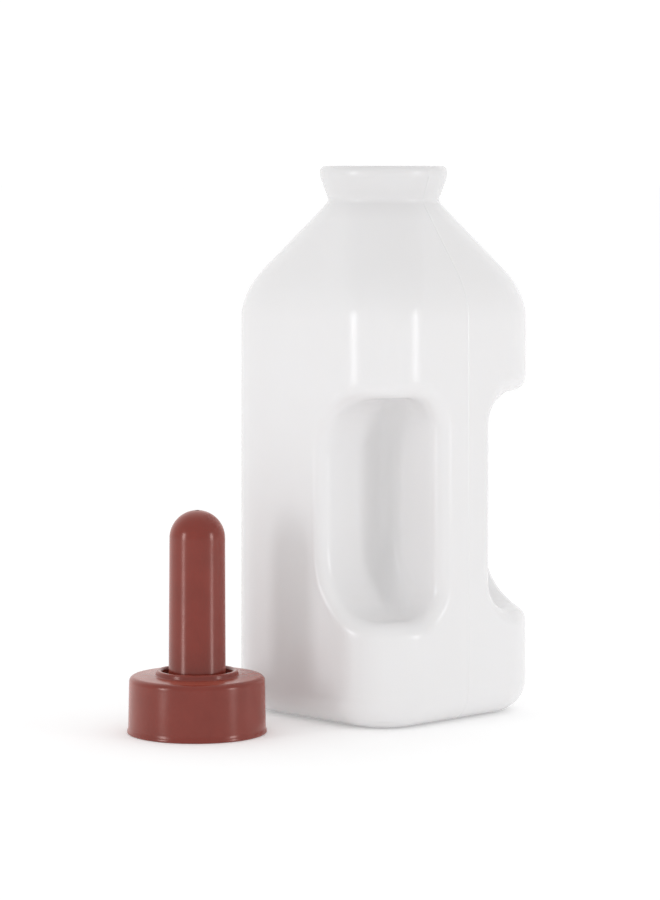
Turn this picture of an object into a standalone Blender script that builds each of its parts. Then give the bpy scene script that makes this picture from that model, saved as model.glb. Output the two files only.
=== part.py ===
"""Calf feeding bottle: a square blow-moulded bottle with a moulded-in grip, and its push-on rubber nipple.

Metres, +Z up. The origin is the centre of the bottle's base, on the surface it stands on. The grip face
looks along -Y, and the bottle is the same on both sides of the plane X = 0, where its mould parts.
The nipple stands on its skirt beside the bottle, at -X.
"""

import math

import bmesh
import bpy
import numpy as np

# Bottle: the square body
BODY_SIDE = 0.1075
CORNER_RADIUS = 0.0272
BASE_EDGE_RADIUS = 0.0142
BODY_HEIGHT = 0.1893         # base to the line where shoulder and body would meet if it were sharp
SHOULDER_RISE = 0.0413       # from that line up to the neck's waist
SHOULDER_BLEND = 0.0115      # half the height over which body and shoulder run into each other
WALL = 0.002

# Bottle: the flared push-on neck
WAIST_RADIUS = 0.0248
LIP_RADIUS = 0.0291
FLARE_RISE = 0.0114
LIP_BAND = 0.0019            # upright band between the flare and the rounded top edge
LIP_EDGE_RADIUS = 0.0028

# Bottle: the two finger pockets beside the grip bar, mirrored in X
POCKET_SILL = 0.047          # lowest point of a pocket above the base
POCKET_HEAD_MARGIN = 0.0445  # from a pocket's highest point up to BODY_HEIGHT
POCKET_BACK = 0.0146         # the pocket's back wall lies this far on the grip side of the axis
POCKET_END_DEPTH = 0.026     # the rounded ends, measured along Y
POCKET_FOOT_RISE = 0.031     # the rounded end at the bottom, measured along Z
POCKET_HEAD_RISE = 0.027     # the rounded end at the top, measured along Z
GRIP_WIDTH = 0.0355          # the bar, at the grip face
WEB_WIDTH = 0.021            # the bar, where it joins the pocket's back wall
RIM_RADIUS = 0.0062          # rounding of the pocket's outer rim at the body's side
BAR_RIM_RADIUS = 0.008       # rounding of the same rim along the grip bar
HOLLOW_RADIUS = 0.010        # hollow rounding between the pocket's back wall and the bar's side
END_RADIUS = 0.0155          # hollow rounding between the pocket's rounded ends and the bar's side
END_REACH = 0.03             # height over which the one hollow rounding grows into the other

# Nipple: one moulding, a skirt that pushes over the lip and a hollow teat
TEAT_RADIUS = 0.01215
TEAT_WALL = 0.003
TEAT_HOLE_RADIUS = 0.0011
NIPPLE_HEIGHT = 0.0966
GRIP_STRETCH = 0.0016        # the rubber is this much smaller in radius than the neck it grips
SKIRT_WALL = 0.0025          # around the lip
SKIRT_CROWN = 0.0068         # above the lip
SKIRT_EDGE_RADIUS = 0.0025
FOOT_BAND = 0.0012           # height of the bead around the foot
FOOT_PROUD = 0.0005          # the bead stands out this far
FOOT_EDGE = 0.0004           # its bevel
FOOT_STEP = 0.0008           # the slope from the bead back to the skirt
ENTRY_HEIGHT = 0.0045        # the tapered mouth below the gripping edge
ENTRY_FLARE = 0.0015
INNER_BEVEL = 0.0015
MOAT_WIDTH = 0.00335         # the ring-shaped dip between the teat and the collar
MOAT_DEPTH = 0.0016
COLLAR_WIDTH = 0.0025
COLLAR_RISE = 0.0024
COLLAR_EDGE = 0.0008
NIPPLE_GAP = 0.0178          # between the bottle's side and the skirt's foot
NIPPLE_FORWARD = 0.0124      # place along Y

# Fineness of the faceted model
RING_COUNT_FOOT = 15
RING_COUNT_MIDDLE = 7
RING_COUNT_HEAD = 12
RING_LEAN = math.radians(30)
LEAN_BELOW_SILL = 0.018      # on the axis, where the rings lean most
LEAN_ABOVE_HEAD = 0.016
TURN_STEPS = 40

# Sizes that follow from those above
POCKET_HEAD = BODY_HEIGHT - POCKET_HEAD_MARGIN
SKIRT_RADIUS = LIP_RADIUS - GRIP_STRETCH + SKIRT_WALL
FOOT_RADIUS = SKIRT_RADIUS + FOOT_PROUD
SKIRT_SEAT = ENTRY_HEIGHT + FLARE_RISE + LIP_BAND
SKIRT_HEIGHT = SKIRT_SEAT + SKIRT_CROWN


def clear_scene():
    """Remove every object, so that the script can be run again."""
    for obj in list(bpy.data.objects):
        bpy.data.objects.remove(obj, do_unlink=True)


def make_material(name, color, roughness, transmission=0.0):
    """A plain Principled material."""
    material = bpy.data.materials.new(name)
    material.use_nodes = True
    shader = material.node_tree.nodes["Principled BSDF"]
    shader.inputs["Base Color"].default_value = (*color, 1.0)
    shader.inputs["Roughness"].default_value = roughness
    shader.inputs["Metallic"].default_value = 0.0
    shader.inputs["Transmission Weight"].default_value = transmission
    return material


# ---------------------------------------------------------------- bottle

def rounded_max(a, b, radius):
    """Where two solids meet: the larger distance, with the edge between them rounded."""
    inside = np.minimum(np.maximum(a, b), -radius)
    return inside + np.hypot(np.maximum(a + radius, 0.0), np.maximum(b + radius, 0.0))


def shoulder_share(z):
    """0 on the body, rising to 1 at the neck's waist, with a soft start."""
    rise = (z - BODY_HEIGHT) / SHOULDER_RISE
    soft = SHOULDER_BLEND / SHOULDER_RISE
    blend = np.clip((rise + soft) / (2.0 * soft), 0.0, 1.0)
    return np.where(rise > soft, rise, soft * blend ** 2)


def body_distance(x, y, z):
    """Distance outside the rounded square section at height z."""
    share = shoulder_share(z)
    half = BODY_SIDE / 2 + (WAIST_RADIUS - BODY_SIDE / 2) * share
    corner = CORNER_RADIUS + (WAIST_RADIUS - CORNER_RADIUS) * share
    above_edge = np.clip(BASE_EDGE_RADIUS - z, 0.0, BASE_EDGE_RADIUS)
    inset = BASE_EDGE_RADIUS - np.sqrt(BASE_EDGE_RADIUS ** 2 - above_edge ** 2)
    dx = np.abs(x) - (half - corner)
    dy = np.abs(y) - (half - corner)
    outside = np.hypot(np.maximum(dx, 0.0), np.maximum(dy, 0.0))
    return outside + np.minimum(np.maximum(dx, dy), 0.0) - corner + inset


def bar_half(depth):
    """Half the grip bar's width at a depth from the axis towards the grip face."""
    return np.interp(depth, (POCKET_BACK, BODY_SIDE / 2), (WEB_WIDTH / 2, GRIP_WIDTH / 2))


def pocket_distance(x, y, z):
    """Distance outside a finger pocket: open to its side and to the grip face, with elliptical ends."""
    back = y + POCKET_BACK
    foot = POCKET_SILL - z
    head = z - POCKET_HEAD
    straight = np.maximum(back, np.maximum(foot, head))
    result = straight
    for end, rise in ((foot, POCKET_FOOT_RISE), (head, POCKET_HEAD_RISE)):
        across = back + POCKET_END_DEPTH
        along = end + rise
        in_corner = (across > 0.0) & (along > 0.0)
        reach = np.hypot(across / POCKET_END_DEPTH, along / rise)
        slope = np.hypot(across / POCKET_END_DEPTH ** 2, along / rise ** 2)
        curved = (reach - 1.0) * reach / np.maximum(slope, 1e-6)
        result = np.where(in_corner, curved, result)
    near_end = np.clip(1.0 + np.maximum(foot, head) / END_REACH, 0.0, 1.0)
    near_end = near_end ** 2 * (3.0 - 2.0 * near_end)
    hollow = HOLLOW_RADIUS + (END_RADIUS - HOLLOW_RADIUS) * near_end
    return rounded_max(result, bar_half(-y) - np.abs(x), hollow)


def bottle_distance(x, y, z):
    """Distance outside the bottle's outer skin below the neck."""
    rim = np.interp(np.abs(x), (GRIP_WIDTH / 2, BODY_SIDE / 2), (BAR_RIM_RADIUS, RIM_RADIUS))
    return rounded_max(body_distance(x, y, z), -pocket_distance(x, y, z), rim)


def skin_ring(bearings, start_height, tilt):
    """Points where tilted rays from the axis leave the bottle's skin."""
    out_x = np.sin(bearings) * -math.cos(tilt)
    out_y = np.cos(bearings) * -math.cos(tilt)
    out_z = math.sin(tilt)
    near = np.zeros_like(bearings)
    far = np.full_like(bearings, BODY_SIDE)
    for _ in range(40):
        middle = (near + far) / 2
        gap = bottle_distance(out_x * middle, out_y * middle, start_height + out_z * middle)
        near = np.where(gap < 0.0, middle, near)
        far = np.where(gap < 0.0, far, middle)
    return np.stack([out_x * near, out_y * near, start_height + out_z * near], axis=1)


def round_ring(bearings, radius, height):
    """Points of a circle about the axis."""
    heights = np.full_like(bearings, height)
    return np.stack([-np.sin(bearings) * radius, -np.cos(bearings) * radius, heights], axis=1)


def bottle_bearings():
    """Bearings of half the bottle, from the grip face round to the back, closer where edges are."""
    half = BODY_SIDE / 2
    bar = GRIP_WIDTH / 2
    web = WEB_WIDTH / 2
    end_depth = POCKET_BACK + END_RADIUS
    hollow_depth = POCKET_BACK + HOLLOW_RADIUS
    bar_rim_start = math.atan2(bar - BAR_RIM_RADIUS, half)
    bar_rim_end = math.atan2(bar, half - BAR_RIM_RADIUS)
    end_start = math.atan2(bar_half(end_depth), end_depth)
    hollow_start = math.atan2(bar_half(hollow_depth), hollow_depth)
    hollow_end = math.atan2(web + HOLLOW_RADIUS, POCKET_BACK)
    end_end = math.atan2(web + END_RADIUS, POCKET_BACK)
    side_rim_start = math.atan2(half - RIM_RADIUS, POCKET_BACK)
    side_rim_end = math.atan2(half, POCKET_BACK - RIM_RADIUS)
    stops = [(0.0, 1), (bar_rim_start, 4), (bar_rim_end, 1), (end_start, 1), (hollow_start, 7), (hollow_end, 1),
             (end_end, 2), (side_rim_start, 4), (side_rim_end, 2), (0.65 * math.pi, 6), (0.85 * math.pi, 1),
             (math.pi, 0)]
    bearings = []
    for (start, count), (end, _) in zip(stops, stops[1:]):
        bearings += [start + (end - start) * i / count for i in range(count)]
    return np.array(sorted(bearings) + [math.pi])


def bottle_rings(bearings):
    """The skin's rings from the base up to the mouth.

    The rays lean towards the pockets' sills and heads, so that those slopes get rings as well.
    """
    low_start = POCKET_SILL - LEAN_BELOW_SILL
    high_start = POCKET_HEAD + LEAN_ABOVE_HEAD
    rings = []
    for i in range(4):
        height = BASE_EDGE_RADIUS * (1 - math.cos(math.radians(30 * i)))
        rings.append(skin_ring(bearings, height, 0.0))
    foot_start = BASE_EDGE_RADIUS
    for i in range(1, RING_COUNT_FOOT + 1):
        share = i / RING_COUNT_FOOT
        rings.append(skin_ring(bearings, foot_start + (low_start - foot_start) * share, RING_LEAN * share))
    for i in range(1, RING_COUNT_MIDDLE + 1):
        share = i / RING_COUNT_MIDDLE
        start = low_start + (high_start - low_start) * share
        rings.append(skin_ring(bearings, start, RING_LEAN * (1 - 2 * share)))
    top_start = BODY_HEIGHT + SHOULDER_BLEND
    for i in range(1, RING_COUNT_HEAD + 1):
        share = i / RING_COUNT_HEAD
        start = high_start + (top_start - high_start) * share
        rings.append(skin_ring(bearings, start, -RING_LEAN * (1 - share)))
    waist = BODY_HEIGHT + SHOULDER_RISE
    rings.append(skin_ring(bearings, (top_start + waist) / 2, 0.0))
    rings.append(round_ring(bearings, WAIST_RADIUS, waist))
    rings.append(round_ring(bearings, LIP_RADIUS, waist + FLARE_RISE))
    band_top = waist + FLARE_RISE + LIP_BAND
    for i in range(4):
        turn = math.radians(30 * i)
        radius = LIP_RADIUS - LIP_EDGE_RADIUS * (1 - math.cos(turn))
        rings.append(round_ring(bearings, radius, band_top + LIP_EDGE_RADIUS * math.sin(turn)))
    return rings


def build_bottle(material, collection):
    """Half of the open skin, mirrored and given its wall."""
    bearings = bottle_bearings()
    rings = bottle_rings(bearings)
    mesh = bmesh.new()
    rows = [[mesh.verts.new(point) for point in ring] for ring in rings]
    for lower, upper in zip(rows, rows[1:]):
        for i in range(len(lower) - 1):
            mesh.faces.new((lower[i + 1], lower[i], upper[i], upper[i + 1]))
    mesh.faces.new(rows[0])
    for vertex in rows[0] + [v for row in rows for v in (row[0], row[-1])]:
        if abs(vertex.co.x) < 1e-6:
            vertex.co.x = 0.0
    bmesh.ops.recalc_face_normals(mesh, faces=mesh.faces)
    data = bpy.data.meshes.new("bottle")
    mesh.to_mesh(data)
    mesh.free()
    data.materials.append(material)
    bottle = bpy.data.objects.new("bottle", data)
    collection.objects.link(bottle)
    mirror = bottle.modifiers.new("other half", 'MIRROR')
    mirror.use_axis = (True, False, False)
    mirror.use_clip = True
    mirror.merge_threshold = 1e-5
    wall = bottle.modifiers.new("wall", 'SOLIDIFY')
    wall.thickness = WALL
    wall.offset = -1.0
    wall.use_even_offset = True
    data.shade_smooth()
    return bottle


# ---------------------------------------------------------------- nipple

def arc(center_r, center_z, radius, start_deg, end_deg, steps):
    """Points of a profile arc in the half-plane of radius and height."""
    points = []
    for i in range(steps + 1):
        angle = math.radians(start_deg + (end_deg - start_deg) * i / steps)
        points.append((center_r + radius * math.cos(angle), center_z + radius * math.sin(angle)))
    return points


def nipple_profile():
    """Closed outline of the rubber, down the outside, and back up the skirt's cavity and the teat's bore."""
    tip_z = NIPPLE_HEIGHT - TEAT_RADIUS
    tip_start = math.degrees(math.acos(TEAT_HOLE_RADIUS / TEAT_RADIUS))
    moat_radius = TEAT_RADIUS + MOAT_WIDTH
    collar_radius = moat_radius + COLLAR_WIDTH
    collar_top = SKIRT_HEIGHT + COLLAR_RISE
    outside = arc(0.0, tip_z, TEAT_RADIUS, tip_start, 0.0, 6)
    outside += [
        (TEAT_RADIUS, SKIRT_HEIGHT - MOAT_DEPTH),
        (moat_radius, SKIRT_HEIGHT - MOAT_DEPTH),
        (moat_radius, collar_top - COLLAR_EDGE),
        (moat_radius + COLLAR_EDGE, collar_top),
        (collar_radius - COLLAR_EDGE, collar_top),
        (collar_radius, collar_top - COLLAR_EDGE),
        (collar_radius, SKIRT_HEIGHT),
    ]
    outside += arc(SKIRT_RADIUS - SKIRT_EDGE_RADIUS, SKIRT_HEIGHT - SKIRT_EDGE_RADIUS,
                   SKIRT_EDGE_RADIUS, 90.0, 0.0, 3)
    outside += [
        (SKIRT_RADIUS, FOOT_BAND + FOOT_STEP),
        (FOOT_RADIUS, FOOT_BAND),
        (FOOT_RADIUS, FOOT_EDGE),
        (FOOT_RADIUS - FOOT_EDGE, 0.0),
    ]
    grip_radius = WAIST_RADIUS - GRIP_STRETCH
    lip_radius = LIP_RADIUS - GRIP_STRETCH
    bore = TEAT_RADIUS - TEAT_WALL
    inside = [
        (grip_radius + ENTRY_FLARE, 0.0),
        (grip_radius, ENTRY_HEIGHT),
        (lip_radius, ENTRY_HEIGHT + FLARE_RISE),
        (lip_radius - INNER_BEVEL, SKIRT_SEAT),
        (bore + INNER_BEVEL, SKIRT_SEAT),
        (bore, SKIRT_SEAT + INNER_BEVEL),
    ]
    inside += arc(0.0, tip_z, bore, 0.0, math.degrees(math.acos(TEAT_HOLE_RADIUS / bore)), 5)
    return outside + inside


def build_nipple(material, collection):
    """The profile turned about the nipple's own axis."""
    profile = nipple_profile()
    mesh = bmesh.new()
    corners = [mesh.verts.new((radius, 0.0, height)) for radius, height in profile]
    for first, second in zip(corners, corners[1:] + corners[:1]):
        mesh.edges.new((first, second))
    data = bpy.data.meshes.new("nipple")
    mesh.to_mesh(data)
    mesh.free()
    data.materials.append(material)
    nipple = bpy.data.objects.new("nipple", data)
    nipple.location = (-(BODY_SIDE / 2 + NIPPLE_GAP + FOOT_RADIUS), NIPPLE_FORWARD, 0.0)
    collection.objects.link(nipple)
    turn = nipple.modifiers.new("turn", 'SCREW')
    turn.axis = 'Z'
    turn.angle = 2 * math.pi
    turn.steps = TURN_STEPS
    turn.render_steps = TURN_STEPS
    turn.use_merge_vertices = True
    turn.merge_threshold = 1e-5
    turn.use_smooth_shade = True
    return nipple


def main():
    clear_scene()
    collection = bpy.data.collections.new("calf feeding bottle")
    bpy.context.scene.collection.children.link(collection)
    plastic = make_material("natural plastic", (0.82, 0.81, 0.80), 0.38, transmission=0.3)
    rubber = make_material("red rubber", (0.24, 0.06, 0.05), 0.5)
    build_bottle(plastic, collection)
    build_nipple(rubber, collection)


main()
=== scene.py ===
"""Calf feeding bottle: the looks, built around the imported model.

Metres, +Z up. The bottle stands on its base at the origin with its grip towards -Y; the nipple stands
on its skirt beside it, towards -X. Sizes that the frame gives come from the frame.
"""

import math

import bpy
import numpy as np
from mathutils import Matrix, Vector


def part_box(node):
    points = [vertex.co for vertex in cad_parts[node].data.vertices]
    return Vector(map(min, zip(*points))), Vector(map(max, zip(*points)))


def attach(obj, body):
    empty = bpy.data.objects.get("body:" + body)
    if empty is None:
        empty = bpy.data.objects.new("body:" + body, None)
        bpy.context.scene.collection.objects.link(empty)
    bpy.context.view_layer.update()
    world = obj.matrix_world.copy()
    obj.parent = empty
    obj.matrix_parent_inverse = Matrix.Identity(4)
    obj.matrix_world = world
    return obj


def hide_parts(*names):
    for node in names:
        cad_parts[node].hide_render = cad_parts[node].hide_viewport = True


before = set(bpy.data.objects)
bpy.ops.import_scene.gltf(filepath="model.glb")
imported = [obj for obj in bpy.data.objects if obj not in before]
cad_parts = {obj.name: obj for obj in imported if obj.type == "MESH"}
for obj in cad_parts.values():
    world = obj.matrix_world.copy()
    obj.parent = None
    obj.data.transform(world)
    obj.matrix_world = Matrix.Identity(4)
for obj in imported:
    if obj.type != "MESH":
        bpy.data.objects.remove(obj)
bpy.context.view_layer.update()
bottle_low, bottle_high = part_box("bottle")
nipple_low, nipple_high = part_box("nipple")

# Bottle: the square body
SEAM_PROUD = 0.00012         # the mould seam stands out this far, and reaches the moulded size
SEAM_WIDTH = 0.00034
BODY_SIDE = bottle_high[1] - bottle_low[1] - 2 * SEAM_PROUD
BODY_HALF = BODY_SIDE / 2
CORNER_RADIUS = 0.0272
BASE_EDGE_RADIUS = 0.0142
PUSH_UP = 0.0016             # the underside is hollow by this much
PUSH_UP_SPREAD = 0.9         # and is flat again at this share of the way out
BODY_HEIGHT = 0.1893         # base to the line where shoulder and body would meet if it were sharp
SHOULDER_RISE = 0.0413
SHOULDER_BLEND = 0.0115
WALL = 0.002

# Bottle: the flared neck
MOUTH_HEIGHT = bottle_high[2]
WAIST_HEIGHT = BODY_HEIGHT + SHOULDER_RISE
WAIST_RADIUS = 0.0248
WAIST_FILLET = 0.0016        # the waist is soft over this height, below and above
LIP_RADIUS = 0.0291 - SEAM_PROUD
LIP_EDGE_RADIUS = 0.0028
LIP_BAND = 0.0019            # upright band between the flare and the rounded top edge
FLARE_STRAIGHT = 0.9         # share of the flare before it turns up into the band
BAND_CORNER = 0.15           # shares of the band where that turn is aimed and where it ends
BAND_STRAIGHT = 0.6

# Bottle: the finger pockets beside the grip bar
POCKET_SILL = 0.047
POCKET_HEAD = 0.1448
POCKET_BACK = 0.0146         # the back wall lies this far on the grip side of the axis
POCKET_END_DEPTH = 0.026     # the rounded ends, along Y
POCKET_FOOT_RISE = 0.031     # and along Z
POCKET_HEAD_RISE = 0.027
GRIP_HALF = 0.01775          # half the grip bar, at the grip face
WEB_HALF = 0.0105            # half the grip bar, where it joins the pockets' back wall
RIM_RADIUS = 0.0062          # at the body's side
BAR_RIM_RADIUS = 0.008       # along the grip bar
HOLLOW_RADIUS = 0.010        # between the back wall and the bar's side
END_RADIUS = 0.0155          # between the rounded ends and the bar's side
END_REACH = 0.03             # height over which the one hollow rounding grows into the other

# Bottle: how finely its skin is drawn
UNDERSIDE_RINGS = 12
BASE_EDGE_RINGS = 9
FOOT_RINGS = 46              # up to where the rays start below the pockets' sills
MIDDLE_RINGS = 22
HEAD_RINGS = 40              # from above the pockets' heads to the shoulder
SHOULDER_RINGS = 8
WAIST_RINGS = 5
FLARE_RINGS = 4
BAND_RINGS = 4
LIP_RINGS = 8
RING_LEAN = math.radians(30)
LEAN_BELOW_SILL = 0.018      # on the axis, where the rays lean most
LEAN_ABOVE_HEAD = 0.016
HALVINGS = 44                # tries in finding where a ray leaves the skin

# Nipple
NIPPLE_X = (nipple_low[0] + nipple_high[0]) / 2
NIPPLE_Y = (nipple_low[1] + nipple_high[1]) / 2
NIPPLE_HEIGHT = nipple_high[2]
FOOT_RADIUS = (nipple_high[1] - nipple_low[1]) / 2
FOOT_PROUD = 0.0005          # the bead around the foot stands out this far
FOOT_BAND = 0.0014           # middle of the slope from the bead back to the skirt
FOOT_SLOPE = 0.0006          # half its height
FOOT_BEVEL = 0.0003
SKIRT_RADIUS = FOOT_RADIUS - FOOT_PROUD
SKIRT_TAPER = 0.0004
SKIRT_HEIGHT = 0.0246
SKIRT_EDGE = 0.0024
COLLAR_RISE = 0.0024
COLLAR_INNER = 0.0155
COLLAR_OUTER = 0.0180
MOAT_DEPTH = 0.0016          # the ring-shaped dip between the teat and the collar
TEAT_RADIUS = 0.01215
TEAT_FOOT_RADIUS = 0.01245
TEAT_WALL = 0.003
TEAT_HOLE = 0.0011
CAVITY_ENTRY = 0.0247        # radii inside the skirt: its mouth, where it grips the waist, and round the lip
CAVITY_GRIP = 0.0232
CAVITY_LIP = 0.0275
CAVITY_GRIP_HEIGHT = 0.0045
CAVITY_LIP_HEIGHT = 0.0159
CAVITY_SEAT = 0.0178
CAVITY_BEVEL = 0.0015
CORNER_PULL = 0.75           # how closely a rounded corner keeps to its point
DOME_STEPS = 16
BORE_STEPS = 10
NIPPLE_STEPS = 128

# Finishes
MILKY_WHITE = (0.785, 0.775, 0.775)
CLEARER_WHITE = (0.798, 0.79, 0.793)
PAINTED_NECK_BRIGHTNESS = 0.92       # painted shade on the neck: this share of the body's colour
NECK_SHADE_FADE_BELOW = 0.008      # the body's colour runs into the neck's painted shade between these, about the waist
NECK_SHADE_FADE_ABOVE = 0.004
RUBBER_DEEP = (0.158, 0.0165, 0.0105)
RUBBER_PALE = (0.187, 0.021, 0.0135)
NOISE_LOW = 0.3              # noise lies mostly between these
NOISE_HIGH = 0.7

# Camera
VIEW_BEARING = math.radians(44)      # round from the grip's side towards the nipple's
VIEW_DISTANCE = 1.5
VIEW_ASIDE = 0.02435
VIEW_ROLL = -0.0010
EYE_HEIGHT = 0.2470
LENS = 132.0
FRAME_DROP = 0.3167          # shift of the frame, so that upright edges stay upright

# Light
ROOM_LIGHT = 0.81            # from the camera's side of the room
SWEEP_LIGHT = 1.06           # from the sweep behind the bottle
SWEEP_RISE = math.radians(20)
SWEEP_EDGE = 0.25            # cosines from the sweep's middle where it starts and where it is full
SWEEP_FULL = 0.92
LAMP_DISTANCE = 1.6
LAMP_HEIGHT = 0.30
LAMP_TALL = 0.60
LAMP_AIM = (0.0, 0.0, 0.12)
LAMP_COLOR = (0.97, 0.98, 1.0)
LEFT_BEARING = 56.0          # degrees round from the camera
LEFT_WIDTH = 0.27
LEFT_POWER = 3.8
RIGHT_BEARING = -61.0
RIGHT_WIDTH = 0.25
RIGHT_POWER = 3.45
FLOOR_SIZE = 60.0
FLOOR_GAP = 0.0002           # the floor lies this far below the base
FLOOR_WHITE = 0.95
FLOOR_GLOW = 0.17


# ---------------------------------------------------------------- helpers

def deselect_all():
    if bpy.context.mode != 'OBJECT':
        bpy.ops.object.mode_set(mode='OBJECT')
    bpy.ops.object.select_all(action='DESELECT')


def make_active(piece):
    deselect_all()
    bpy.context.view_layer.objects.active = piece
    piece.select_set(True)


def apply_modifier(piece, kind, **settings):
    """Add one modifier and apply it."""
    make_active(piece)
    modifier = piece.modifiers.new(kind.lower(), kind)
    for name, value in settings.items():
        setattr(modifier, name, value)
    bpy.ops.object.modifier_apply(modifier=modifier.name)


def place_points(piece, points):
    piece.data.vertices.foreach_set("co", np.ascontiguousarray(points, dtype=float).ravel())
    piece.data.update()


def smooth(piece):
    """Smooth shading that keeps real edges."""
    make_active(piece)
    bpy.ops.object.shade_smooth_by_angle(angle=math.radians(50))


def spread(start, end, count):
    """Values after start, up to and with end."""
    return [start + (end - start) * i / count for i in range(1, count + 1)]


# ---------------------------------------------------------------- bottle

def rounded_max(a, b, radius):
    """Where two solids meet: the larger distance, with the edge between them rounded."""
    inside = np.minimum(np.maximum(a, b), -radius)
    return inside + np.hypot(np.maximum(a + radius, 0.0), np.maximum(b + radius, 0.0))


def shoulder_share(z):
    """0 on the body, rising to 1 at the neck's waist, with a soft start."""
    rise = (z - BODY_HEIGHT) / SHOULDER_RISE
    soft = SHOULDER_BLEND / SHOULDER_RISE
    blend = np.clip((rise + soft) / (2.0 * soft), 0.0, 1.0)
    return np.where(rise > soft, rise, soft * blend ** 2)


def body_distance(x, y, z):
    """Distance outside the rounded square section at height z."""
    share = shoulder_share(z)
    half = BODY_HALF + (WAIST_RADIUS - BODY_HALF) * share
    corner = CORNER_RADIUS + (WAIST_RADIUS - CORNER_RADIUS) * share
    above_edge = np.clip(BASE_EDGE_RADIUS - z, 0.0, BASE_EDGE_RADIUS)
    inset = BASE_EDGE_RADIUS - np.sqrt(BASE_EDGE_RADIUS ** 2 - above_edge ** 2)
    dx = np.abs(x) - (half - corner)
    dy = np.abs(y) - (half - corner)
    outside = np.hypot(np.maximum(dx, 0.0), np.maximum(dy, 0.0))
    return outside + np.minimum(np.maximum(dx, dy), 0.0) - corner + inset


def bar_half(depth):
    """Half the grip bar's width at a depth from the axis towards the grip face."""
    return np.interp(depth, (POCKET_BACK, BODY_HALF), (WEB_HALF, GRIP_HALF))


def pocket_distance(x, y, z):
    """Distance outside a finger pocket, open to its side and to the grip face, with elliptical ends."""
    back = y + POCKET_BACK
    foot = POCKET_SILL - z
    head = z - POCKET_HEAD
    result = np.maximum(back, np.maximum(foot, head))
    for end, rise in ((foot, POCKET_FOOT_RISE), (head, POCKET_HEAD_RISE)):
        across = back + POCKET_END_DEPTH
        along = end + rise
        in_corner = (across > 0.0) & (along > 0.0)
        reach = np.hypot(across / POCKET_END_DEPTH, along / rise)
        slope = np.hypot(across / POCKET_END_DEPTH ** 2, along / rise ** 2)
        curved = (reach - 1.0) * reach / np.maximum(slope, 1e-6)
        result = np.where(in_corner, curved, result)
    near_end = np.clip(1.0 + np.maximum(foot, head) / END_REACH, 0.0, 1.0)
    near_end = near_end ** 2 * (3.0 - 2.0 * near_end)
    hollow = HOLLOW_RADIUS + (END_RADIUS - HOLLOW_RADIUS) * near_end
    return rounded_max(result, bar_half(-y) - np.abs(x), hollow)


def skin_distance(x, y, z):
    """Distance outside the skin below the neck."""
    rim = np.interp(np.abs(x), (GRIP_HALF, BODY_HALF), (BAR_RIM_RADIUS, RIM_RADIUS))
    return rounded_max(body_distance(x, y, z), -pocket_distance(x, y, z), rim)


def skin_ring(bearings, start_height, lean):
    """Points where leaning rays from the axis leave the bottle's skin."""
    out_x = np.sin(bearings) * -math.cos(lean)
    out_y = np.cos(bearings) * -math.cos(lean)
    out_z = math.sin(lean)
    near = np.zeros_like(bearings)
    far = np.full_like(bearings, BODY_SIDE)
    for _ in range(HALVINGS):
        middle = (near + far) / 2
        gap = skin_distance(out_x * middle, out_y * middle, start_height + out_z * middle)
        near = np.where(gap < 0.0, middle, near)
        far = np.where(gap < 0.0, far, middle)
    return np.stack([out_x * near, out_y * near, start_height + out_z * near], axis=1)


def round_ring(bearings, radius, height):
    """Points of a circle about the axis."""
    heights = np.full_like(bearings, height)
    return np.stack([-np.sin(bearings) * radius, -np.cos(bearings) * radius, heights], axis=1)


def bearing_of(across, depth):
    """Degrees round from the grip face to a point that far across and that far towards it."""
    return math.degrees(math.atan2(across, depth))


def bottle_bearings():
    """Bearings of half the bottle, from the grip face round to the back, closer at rims and the seam."""
    bar_rim_start = bearing_of(GRIP_HALF - BAR_RIM_RADIUS, BODY_HALF)
    bar_rim_end = bearing_of(GRIP_HALF, BODY_HALF - BAR_RIM_RADIUS)
    hollow_depth = POCKET_BACK + HOLLOW_RADIUS
    hollow_start = bearing_of(bar_half(hollow_depth), hollow_depth)
    hollow_end = bearing_of(WEB_HALF + HOLLOW_RADIUS, POCKET_BACK)
    end_end = bearing_of(WEB_HALF + END_RADIUS, POCKET_BACK)
    side_rim_start = bearing_of(BODY_HALF - RIM_RADIUS, POCKET_BACK)
    side_rim_end = bearing_of(BODY_HALF, POCKET_BACK - RIM_RADIUS)
    seam = [0.0, 0.13, 0.26, 0.4, 0.56, 0.8, 1.2, 2.0]
    # Each stop is a bearing and the number of columns from there to the next one.
    stops = [(2.0, 6), (bar_rim_start - 1.5, 18), (bar_rim_end + 1.0, 6), (hollow_start - 1.0, 22),
             (hollow_end + 1.0, 5), (end_end + 1.0, 6), (side_rim_start - 1.5, 18), (side_rim_end + 1.5, 7),
             (116.0, 20), (154.0, 6), (178.0, 0)]
    bearings = seam[:-1]
    for (start, count), (end, _) in zip(stops, stops[1:]):
        bearings += [start + (end - start) * i / count for i in range(count)]
    bearings += [180.0 - value for value in reversed(seam)]
    return np.radians(np.array(bearings))


def bend(start, corner, end, steps):
    """Rings of a soft curve from one ring to another, aimed at the corner between them."""
    rings = []
    for share in spread(0.0, 1.0, steps):
        rings.append(start * (1 - share) ** 2 + corner * 2 * share * (1 - share) + end * share ** 2)
    return rings


def underside_rings(bearings):
    """From the middle of the slightly hollow underside out to where the base's edge starts."""
    foot = skin_ring(bearings, 0.0, 0.0)
    rings = []
    for share in spread(0.0, 1.0, UNDERSIDE_RINGS):
        hollow = 0.5 + 0.5 * math.cos(math.pi * min(1.0, share / PUSH_UP_SPREAD))
        rings.append(foot * share + np.array([0.0, 0.0, PUSH_UP * hollow]))
    return rings


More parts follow.
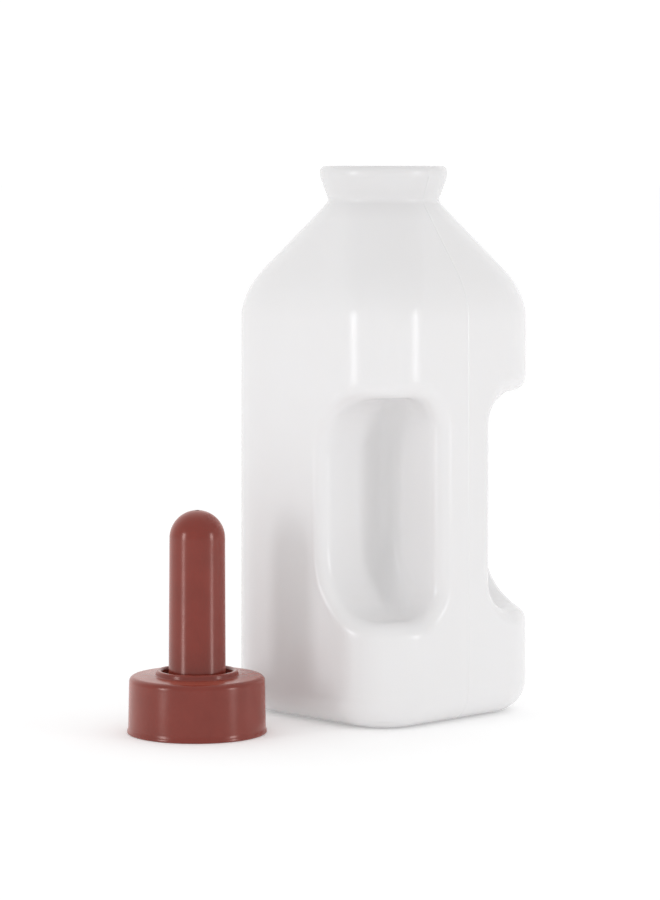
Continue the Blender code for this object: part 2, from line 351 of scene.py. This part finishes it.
def body_rings(bearings):
    """From the base's rounded edge up to the top of the shoulder.

    The rays lean towards the pockets' sills and heads, so that those slopes get rings as well.
    """
    rings = []
    for angle in spread(0.0, 90.0, BASE_EDGE_RINGS):
        height = BASE_EDGE_RADIUS * (1 - math.cos(math.radians(angle)))
        rings.append(skin_ring(bearings, height, 0.0))
    low_start = POCKET_SILL - LEAN_BELOW_SILL
    high_start = POCKET_HEAD + LEAN_ABOVE_HEAD
    top_start = BODY_HEIGHT + SHOULDER_BLEND
    for share in spread(0.0, 1.0, FOOT_RINGS):
        start = BASE_EDGE_RADIUS + (low_start - BASE_EDGE_RADIUS) * share
        rings.append(skin_ring(bearings, start, RING_LEAN * share))
    for share in spread(0.0, 1.0, MIDDLE_RINGS):
        start = low_start + (high_start - low_start) * share
        rings.append(skin_ring(bearings, start, RING_LEAN * (1 - 2 * share)))
    for share in spread(0.0, 1.0, HEAD_RINGS):
        start = high_start + (top_start - high_start) * share
        rings.append(skin_ring(bearings, start, -RING_LEAN * (1 - share)))
    for height in spread(top_start, WAIST_HEIGHT - WAIST_FILLET, SHOULDER_RINGS):
        rings.append(skin_ring(bearings, height, 0.0))
    return rings


def neck_rings(bearings, shoulder_top):
    """From the shoulder through the soft waist and the flare to the lip's rounded edge."""
    band_start = MOUTH_HEIGHT - LIP_EDGE_RADIUS - LIP_BAND
    waist = round_ring(bearings, WAIST_RADIUS, WAIST_HEIGHT)
    lip = round_ring(bearings, LIP_RADIUS, band_start)
    flare_start = waist + (lip - waist) * (WAIST_FILLET / (band_start - WAIST_HEIGHT))
    rings = bend(shoulder_top, waist, flare_start, WAIST_RINGS)
    for share in spread(0.0, FLARE_STRAIGHT, FLARE_RINGS):
        rings.append(flare_start + (lip - flare_start) * share)
    corner = round_ring(bearings, LIP_RADIUS, band_start + LIP_BAND * BAND_CORNER)
    band = round_ring(bearings, LIP_RADIUS, band_start + LIP_BAND * BAND_STRAIGHT)
    rings += bend(rings[-1], corner, band, BAND_RINGS)
    band_top = MOUTH_HEIGHT - LIP_EDGE_RADIUS
    for angle in [0.0] + spread(0.0, 90.0, LIP_RINGS):
        turn = math.radians(angle)
        radius = LIP_RADIUS - LIP_EDGE_RADIUS * (1 - math.cos(turn))
        rings.append(round_ring(bearings, radius, band_top + LIP_EDGE_RADIUS * math.sin(turn)))
    return rings


def close_underside(piece, columns):
    """Fill the half ring in the middle of the underside, and turn every face outwards."""
    bpy.ops.object.mode_set(mode='EDIT')
    bpy.ops.mesh.select_all(action='DESELECT')
    bpy.ops.object.mode_set(mode='OBJECT')
    for vertex in piece.data.vertices[:columns]:
        vertex.select = True
    bpy.ops.object.mode_set(mode='EDIT')
    bpy.ops.mesh.edge_face_add()
    bpy.ops.mesh.select_all(action='SELECT')
    bpy.ops.mesh.normals_make_consistent(inside=False)
    bpy.ops.object.mode_set(mode='OBJECT')


def raise_seam(piece, points):
    """Lay the half's edge on the plane where the mould parts, and raise the thin seam along it."""
    normals = np.empty(len(piece.data.vertices) * 3)
    piece.data.vertices.foreach_get("normal", normals)
    normals = normals.reshape(-1, 3)
    on_seam = np.abs(points[:, 0]) < 1e-6
    normals[on_seam, 0] = 0.0
    points[on_seam, 0] = 0.0
    ridge = SEAM_PROUD * np.exp(-(points[:, 0] / SEAM_WIDTH) ** 2)
    ridge *= np.clip(points[:, 2] / PUSH_UP, 0.0, 1.0)
    ridge *= np.clip((MOUTH_HEIGHT - points[:, 2]) / LIP_EDGE_RADIUS, 0.0, 1.0)
    place_points(piece, points + normals * ridge[:, None])


def make_bottle():
    """A grid wrapped round half the bottle, closed underneath, mirrored and given its wall."""
    bearings = bottle_bearings()
    rings = underside_rings(bearings) + body_rings(bearings)
    rings += neck_rings(bearings, rings[-1])
    columns = len(bearings)
    points = np.concatenate(rings)
    deselect_all()
    bpy.ops.mesh.primitive_grid_add(x_subdivisions=columns - 1, y_subdivisions=len(rings) - 1, size=1.0)
    piece = bpy.context.object
    piece.name = "moulded_bottle"
    piece.data.name = "moulded_bottle"
    place_points(piece, points)
    close_underside(piece, columns)
    raise_seam(piece, points)
    apply_modifier(piece, 'MIRROR', use_axis=(True, False, False), use_clip=True, merge_threshold=1e-5)
    apply_modifier(piece, 'SOLIDIFY', thickness=WALL, offset=-1.0, use_even_offset=True)
    smooth(piece)
    return piece


# ---------------------------------------------------------------- nipple

def extrude_ring(radius, height, last):
    """Extrude the selected ring to a new radius and height."""
    last_radius, last_height = last
    bpy.ops.mesh.extrude_region_move(TRANSFORM_OT_translate={"value": (0.0, 0.0, height - last_height)})
    share = radius / last_radius
    bpy.ops.transform.resize(value=(share, share, 1.0), center_override=(0.0, 0.0, height))
    return radius, height


def rounded_outline(corners):
    """The outline through corners of a radius, a height, a rounding and its number of steps."""
    outline = []
    for index, (radius, height, rounding, steps) in enumerate(corners):
        if steps == 0:
            outline.append((radius, height))
            continue
        corner = np.array((radius, height))
        before = np.array(corners[index - 1][:2])
        after = np.array(corners[index + 1][:2])
        start = corner + (before - corner) / np.linalg.norm(before - corner) * rounding
        end = corner + (after - corner) / np.linalg.norm(after - corner) * rounding
        for share in [0.0] + spread(0.0, 1.0, steps):
            pull = 2 * share * (1 - share) * CORNER_PULL
            total = (1 - share) ** 2 + pull + share ** 2
            outline.append(tuple((start * (1 - share) ** 2 + corner * pull + end * share ** 2) / total))
    return outline


def dome(radius, center_height, steps):
    """Points from the side of a dome up to the teat's hole."""
    points = []
    hole_angle = math.degrees(math.acos(TEAT_HOLE / radius))
    for angle in spread(0.0, hole_angle, steps):
        turn = math.radians(angle)
        points.append((radius * math.cos(turn), center_height + radius * math.sin(turn)))
    return points


def nipple_outline():
    """Radius and height down the outside from foot to tip, and back down the bore and the cavity."""
    dome_height = NIPPLE_HEIGHT - TEAT_RADIUS
    collar_top = SKIRT_HEIGHT + COLLAR_RISE
    moat_floor = SKIRT_HEIGHT - MOAT_DEPTH
    bore = TEAT_RADIUS - TEAT_WALL
    outside = rounded_outline([
        (FOOT_RADIUS - FOOT_BEVEL, 0.0, 0.0, 0),
        (FOOT_RADIUS, FOOT_BEVEL, 0.0, 0),
        (FOOT_RADIUS, FOOT_BAND - FOOT_SLOPE, 0.0004, 3),
        (SKIRT_RADIUS, FOOT_BAND + FOOT_SLOPE, 0.0007, 3),
        (SKIRT_RADIUS - SKIRT_TAPER, SKIRT_HEIGHT, SKIRT_EDGE, 8),
        (COLLAR_OUTER, SKIRT_HEIGHT, 0.0009, 4),
        (COLLAR_OUTER, collar_top, 0.0009, 4),
        (COLLAR_INNER, collar_top, 0.0011, 4),
        (COLLAR_INNER, moat_floor, 0.0008, 3),
        (TEAT_FOOT_RADIUS, moat_floor, 0.0012, 4),
        (TEAT_RADIUS, dome_height, 0.0, 0),
    ])
    outside += dome(TEAT_RADIUS, dome_height, DOME_STEPS)
    inside = [
        (CAVITY_ENTRY, 0.0),
        (CAVITY_GRIP, CAVITY_GRIP_HEIGHT),
        (CAVITY_LIP, CAVITY_LIP_HEIGHT),
        (CAVITY_LIP - CAVITY_BEVEL, CAVITY_SEAT),
        (bore + CAVITY_BEVEL, CAVITY_SEAT),
        (bore, CAVITY_SEAT + CAVITY_BEVEL),
        (bore, dome_height),
    ]
    inside += dome(bore, dome_height, BORE_STEPS)
    return outside + inside[::-1]


def close_bore(piece):
    """Bridge the first and the last ring, and turn every face outwards."""
    count = len(piece.data.vertices)
    first = set(range(NIPPLE_STEPS))
    last = set(range(count - NIPPLE_STEPS, count))
    for edge in piece.data.edges:
        edge.select = set(edge.vertices) <= first or set(edge.vertices) <= last
    for vertex in piece.data.vertices:
        vertex.select = vertex.index in first or vertex.index in last
    bpy.ops.object.mode_set(mode='EDIT')
    bpy.ops.mesh.select_mode(type='EDGE')
    bpy.ops.mesh.bridge_edge_loops()
    bpy.ops.mesh.select_all(action='SELECT')
    bpy.ops.mesh.remove_doubles(threshold=1e-6)
    bpy.ops.mesh.normals_make_consistent(inside=False)
    bpy.ops.object.mode_set(mode='OBJECT')


def make_nipple():
    """One ring, extruded along the outline and closed with a bridge under the skirt."""
    deselect_all()
    outline = nipple_outline()
    radius, height = outline[0]
    bpy.ops.mesh.primitive_circle_add(vertices=NIPPLE_STEPS, radius=radius, location=(0.0, 0.0, height))
    piece = bpy.context.object
    piece.name = "rubber_nipple"
    piece.data.name = "rubber_nipple"
    bpy.ops.object.mode_set(mode='EDIT')
    last = outline[0]
    for radius, height in outline[1:]:
        last = extrude_ring(radius, height, last)
    bpy.ops.object.mode_set(mode='OBJECT')
    close_bore(piece)
    piece.location = (NIPPLE_X, NIPPLE_Y, 0.0)
    make_active(piece)
    bpy.ops.object.transform_apply(location=True, rotation=True, scale=True)
    smooth(piece)
    return piece


# ---------------------------------------------------------------- materials

def new_material(name):
    """A Principled material, with its node tree and shader."""
    material = bpy.data.materials.new(name)
    material.use_nodes = True
    tree = material.node_tree
    return material, tree, tree.nodes["Principled BSDF"]


def noise(tree, scale, detail):
    """Noise on the piece's own coordinates."""
    place = tree.nodes.new("ShaderNodeTexCoord")
    texture = tree.nodes.new("ShaderNodeTexNoise")
    texture.inputs["Scale"].default_value = scale
    texture.inputs["Detail"].default_value = detail
    tree.links.new(place.outputs["Object"], texture.inputs["Vector"])
    return texture.outputs["Fac"]


def two_tone(tree, value, low, high):
    """A colour that runs from one tone to another with noise."""
    node = tree.nodes.new("ShaderNodeValToRGB")
    first, second = node.color_ramp.elements
    first.position = NOISE_LOW
    first.color = (*low, 1.0)
    second.position = NOISE_HIGH
    second.color = (*high, 1.0)
    tree.links.new(value, node.inputs["Fac"])
    return node.outputs["Color"]


def uneven(tree, value, low, high):
    """A number that runs from low to high with noise."""
    node = tree.nodes.new("ShaderNodeMapRange")
    node.inputs["From Min"].default_value = NOISE_LOW
    node.inputs["From Max"].default_value = NOISE_HIGH
    node.inputs["To Min"].default_value = low
    node.inputs["To Max"].default_value = high
    tree.links.new(value, node.inputs["Value"])
    return node.outputs["Result"]


def bump(tree, value, depth, under=None):
    """A bump of a real depth in metres, laid over another."""
    node = tree.nodes.new("ShaderNodeBump")
    node.inputs["Strength"].default_value = 1.0
    node.inputs["Distance"].default_value = depth
    tree.links.new(value, node.inputs["Height"])
    if under is not None:
        tree.links.new(under, node.inputs["Normal"])
    return node.outputs["Normal"]


def painted_neck_shade(tree, color):
    """The colour, a shade greyer from the waist up: painted shade for the neck, whose flare faces down and
    takes less light.
    """
    place = tree.nodes.new("ShaderNodeTexCoord")
    apart = tree.nodes.new("ShaderNodeSeparateXYZ")
    brightness = tree.nodes.new("ShaderNodeMapRange")
    brightness.inputs["From Min"].default_value = WAIST_HEIGHT - NECK_SHADE_FADE_BELOW
    brightness.inputs["From Max"].default_value = WAIST_HEIGHT + NECK_SHADE_FADE_ABOVE
    brightness.inputs["To Min"].default_value = 1.0
    brightness.inputs["To Max"].default_value = PAINTED_NECK_BRIGHTNESS
    shade = tree.nodes.new("ShaderNodeVectorMath")
    shade.operation = 'SCALE'
    tree.links.new(place.outputs["Object"], apart.inputs["Vector"])
    tree.links.new(apart.outputs["Z"], brightness.inputs["Value"])
    tree.links.new(color, shade.inputs[0])
    tree.links.new(brightness.outputs["Result"], shade.inputs["Scale"])
    return shade.outputs["Vector"]


def natural_plastic():
    """Unpigmented polyethylene: milky, satin, a little uneven as blow moulding leaves it."""
    material, tree, shader = new_material("natural plastic")
    clouds = noise(tree, scale=14.0, detail=2.0)
    color = two_tone(tree, clouds, MILKY_WHITE, CLEARER_WHITE)
    # painted shade: the base colour is a shade darker from the waist up
    tree.links.new(painted_neck_shade(tree, color), shader.inputs["Base Color"])
    gloss = uneven(tree, noise(tree, scale=120.0, detail=4.0), 0.22, 0.27)
    tree.links.new(gloss, shader.inputs["Roughness"])
    wave = bump(tree, noise(tree, scale=45.0, detail=1.0), depth=0.00025)
    grain = bump(tree, noise(tree, scale=900.0, detail=2.0), depth=0.00002, under=wave)
    tree.links.new(grain, shader.inputs["Normal"])
    shader.inputs["IOR"].default_value = 1.5
    shader.inputs["Subsurface Weight"].default_value = 0.3
    shader.inputs["Subsurface Radius"].default_value = (1.0, 0.95, 0.9)
    shader.inputs["Subsurface Scale"].default_value = 0.002
    return material


def red_rubber():
    """Soft red-brown rubber with a faint pale bloom."""
    material, tree, shader = new_material("red rubber")
    clouds = noise(tree, scale=90.0, detail=5.0)
    color = two_tone(tree, clouds, RUBBER_DEEP, RUBBER_PALE)
    tree.links.new(color, shader.inputs["Base Color"])
    gloss = uneven(tree, noise(tree, scale=260.0, detail=5.0), 0.19, 0.24)
    tree.links.new(gloss, shader.inputs["Roughness"])
    wave = bump(tree, noise(tree, scale=110.0, detail=1.0), depth=0.00006)
    grain = bump(tree, noise(tree, scale=1100.0, detail=1.0), depth=0.000012, under=wave)
    tree.links.new(grain, shader.inputs["Normal"])
    shader.inputs["IOR"].default_value = 1.6
    shader.inputs["Specular Tint"].default_value = (1.0, 0.78, 0.72, 1.0)
    shader.inputs["Sheen Weight"].default_value = 0.3
    shader.inputs["Sheen Roughness"].default_value = 0.5
    shader.inputs["Sheen Tint"].default_value = (1.0, 0.3, 0.2, 1.0)
    return material


# ---------------------------------------------------------------- studio

def make_camera():
    """A level camera at the bottle's front corner, a little to its left."""
    data = bpy.data.cameras.new("camera")
    camera = bpy.data.objects.new("camera", data)
    bpy.context.scene.collection.objects.link(camera)
    towards = np.array([-math.sin(VIEW_BEARING), -math.cos(VIEW_BEARING)])
    right = np.array([math.cos(VIEW_BEARING), -math.sin(VIEW_BEARING)])
    x, y = towards * VIEW_DISTANCE - right * VIEW_ASIDE
    camera.location = (x, y, EYE_HEIGHT)
    camera.rotation_euler = (math.pi / 2, VIEW_ROLL, -VIEW_BEARING)
    data.lens = LENS
    data.shift_y = -FRAME_DROP
    data.clip_end = 50.0
    bpy.context.scene.camera = camera


def softbox(name, bearing, width, power):
    """A tall lamp at a bearing round from the camera's side, aimed at the bottle."""
    data = bpy.data.lights.new(name, 'AREA')
    data.shape = 'RECTANGLE'
    data.size = width
    data.size_y = LAMP_TALL
    data.energy = power
    data.color = LAMP_COLOR
    lamp = bpy.data.objects.new(name, data)
    bpy.context.scene.collection.objects.link(lamp)
    turn = VIEW_BEARING + math.radians(bearing)
    lamp.location = (-math.sin(turn) * LAMP_DISTANCE, -math.cos(turn) * LAMP_DISTANCE, LAMP_HEIGHT)
    offset = Vector(LAMP_AIM) - lamp.location
    lamp.rotation_euler = offset.to_track_quat('-Z', 'Y').to_euler()


def make_world():
    """A white sweep behind and above the bottle that dims towards the camera's side of the room."""
    world = bpy.data.worlds.new("white room")
    bpy.context.scene.world = world
    world.use_nodes = True
    tree = world.node_tree
    background = tree.nodes["Background"]
    background.inputs["Color"].default_value = (1.0, 1.0, 1.0, 1.0)
    place = tree.nodes.new("ShaderNodeTexCoord")
    facing = tree.nodes.new("ShaderNodeVectorMath")
    facing.operation = 'DOT_PRODUCT'
    along = math.cos(SWEEP_RISE)
    facing.inputs[1].default_value = (math.sin(VIEW_BEARING) * along, math.cos(VIEW_BEARING) * along,
                                      math.sin(SWEEP_RISE))
    strength = tree.nodes.new("ShaderNodeMapRange")
    strength.interpolation_type = 'SMOOTHSTEP'
    strength.inputs["From Min"].default_value = SWEEP_EDGE
    strength.inputs["From Max"].default_value = SWEEP_FULL
    strength.inputs["To Min"].default_value = ROOM_LIGHT
    strength.inputs["To Max"].default_value = SWEEP_LIGHT
    tree.links.new(place.outputs["Generated"], facing.inputs[0])
    tree.links.new(facing.outputs["Value"], strength.inputs["Value"])
    tree.links.new(strength.outputs["Result"], background.inputs["Strength"])


def make_floor():
    """A matt white floor, glowing a little as a lit table does."""
    deselect_all()
    bpy.ops.mesh.primitive_plane_add(size=FLOOR_SIZE, location=(0.0, 0.0, -FLOOR_GAP))
    floor = bpy.context.object
    floor.name = "floor"
    material, tree, shader = new_material("white floor")
    shader.inputs["Base Color"].default_value = (FLOOR_WHITE, FLOOR_WHITE, FLOOR_WHITE, 1.0)
    shader.inputs["Roughness"].default_value = 0.8
    shader.inputs["Specular IOR Level"].default_value = 0.0
    shader.inputs["Emission Color"].default_value = (1.0, 1.0, 1.0, 1.0)
    shader.inputs["Emission Strength"].default_value = FLOOR_GLOW
    floor.data.materials.append(material)


def make_studio():
    softbox("left softbox", LEFT_BEARING, LEFT_WIDTH, LEFT_POWER)
    softbox("right softbox", RIGHT_BEARING, RIGHT_WIDTH, RIGHT_POWER)
    make_world()
    make_floor()
    bpy.context.scene.view_settings.view_transform = 'Standard'


# ---------------------------------------------------------------- all together

bottle = make_bottle()
bottle.data.materials.append(natural_plastic())
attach(bottle, "bottle")
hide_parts("bottle")

nipple = make_nipple()
nipple.data.materials.append(red_rubber())
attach(nipple, "nipple")
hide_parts("nipple")

make_camera()
make_studio()
